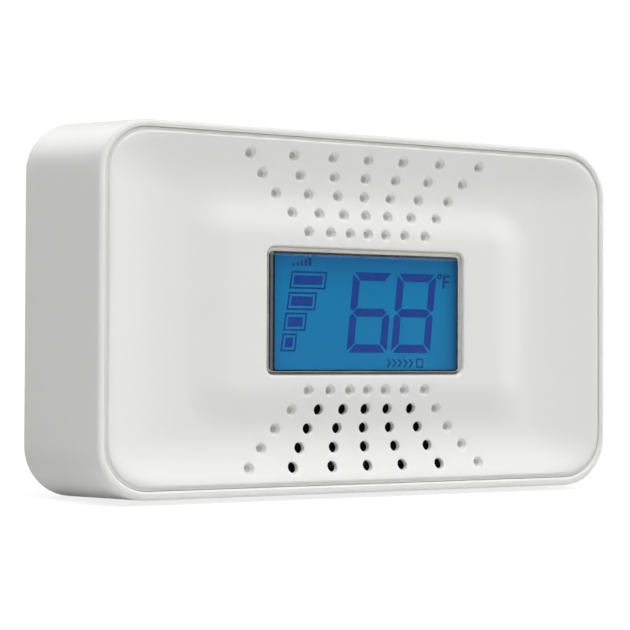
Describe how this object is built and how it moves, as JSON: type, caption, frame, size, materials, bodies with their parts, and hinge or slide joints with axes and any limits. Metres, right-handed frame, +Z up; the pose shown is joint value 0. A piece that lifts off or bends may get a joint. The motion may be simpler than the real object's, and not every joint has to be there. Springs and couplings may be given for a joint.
{
  "type": "carbon monoxide detector",
  "caption": "Wide white carbon monoxide detector with a lit digital display, fanned sound holes, a top test button and a rear cover with keyholes.",
  "frame": {"origin": "centre of the case's footprint, at the height of its lowest edge, with the wall plane upright", "axes": "+Z up, -Y out of the front face, +X along the width to the viewer's right when facing the front"},
  "size_m": [0.1404, 0.038, 0.086],
  "materials": {
    "white_case": "satin, fine moulded texture",
    "white_button": "satin",
    "clear_lens": "clear polished acrylic",
    "grey_adhesive": "matte tape",
    "display_film": "glossy film over a blue lit display",
    "display_glass": "clear glass",
    "tinned_metal": "tinned",
    "white_moulding": "as moulded",
    "white_film": "matte film",
    "acrylic_guide": "clear acrylic",
    "blue_lamp": "encapsulated lamp",
    "board_green": "solder mask",
    "zinc_screw": "zinc plated",
    "black_package": "moulded epoxy",
    "capacitor_can": "sleeved can",
    "ferrite": "ferrite",
    "copper_wire": "enamelled copper winding",
    "bright_can": "bright can",
    "chip_body": "fired ceramic",
    "black_moulding": "as moulded",
    "brass_disc": "rolled brass",
    "piezo_ceramic": "silvered ceramic",
    "filter_felt": "felt",
    "black_screen": "woven screen",
    "cell_wrap": "shrink sleeve over a lithium cell",
    "plain_plate": "plain label stock, no lettering",
    "grey_slider": "as moulded"
  },
  "bodies": {
    "case": {"backlight_diffuser": "white_film", "backlight_guide": "acrylic_guide", "backlight_lamps": "blue_lamp", "backlight_reflector": "white_film", "battery_cells": "cell_wrap", "battery_cradle": "black_moulding", "battery_tabs": "tinned_metal", "board_screws": "zinc_screw", "booster_core": "ferrite", "booster_winding": "copper_wire", "chip_components": "chip_body", "co_sensor_can": "bright_can", "co_sensor_cap": "white_moulding", "co_sensor_filter": "filter_felt", "cover_screws": "zinc_screw", "display_lens": "clear_lens", "front_fascia": "white_case", "horn_ceramic": "piezo_ceramic", "horn_contacts": "tinned_metal", "horn_disc": "brass_disc", "horn_resonator": "black_moulding", "horn_retaining_ring": "black_moulding", "housing_shell": "white_case", "insect_screen": "black_screen", "lcd_frame": "white_moulding", "lcd_front_glass": "display_glass", "lcd_front_polarizer": "display_film", "lcd_pins": "tinned_metal", "lcd_rear_glass": "display_glass", "lcd_rear_polarizer": "display_film", "lens_adhesive": "grey_adhesive", "main_circuit_board": "board_green", "microcontroller": "black_package", "power_switch_body": "bright_can", "rear_cover": "white_case", "rear_plate": "plain_plate", "small_chips": "black_package", "storage_capacitors": "capacitor_can", "temperature_sensor": "black_package", "test_switch_body": "black_package", "timing_crystal": "bright_can"},
    "test_button": {"test_button": "white_button"},
    "test_plunger": {"test_switch_plunger": "white_moulding"},
    "power_slider": {"power_slider": "grey_slider"},
    "power_knob": {"power_switch_knob": "black_moulding"}
  },
  "joints": [
    {"name": "test_button_press", "type": "slide", "parent": "case", "child": "test_button", "axis": [0, 0, -1], "range_m": [0, 0.001], "stiffness_N_per_m": 600, "springref_m": -0.0008},
    {"name": "test_plunger_press", "type": "slide", "parent": "case", "child": "test_plunger", "axis": [0, 0, -1], "range_m": [0, 0.001]},
    {"name": "power_slide", "type": "slide", "parent": "case", "child": "power_slider", "axis": [1, 0, 0], "range_m": [0, 0.004]},
    {"name": "power_knob_slide", "type": "slide", "parent": "case", "child": "power_knob", "axis": [1, 0, 0], "range_m": [0, 0.004]}
  ],
  "couplings": [
    {"joint": "test_plunger_press", "follows": "test_button_press", "ratio": 1},
    {"joint": "power_knob_slide", "follows": "power_slide", "ratio": 1}
  ]
}
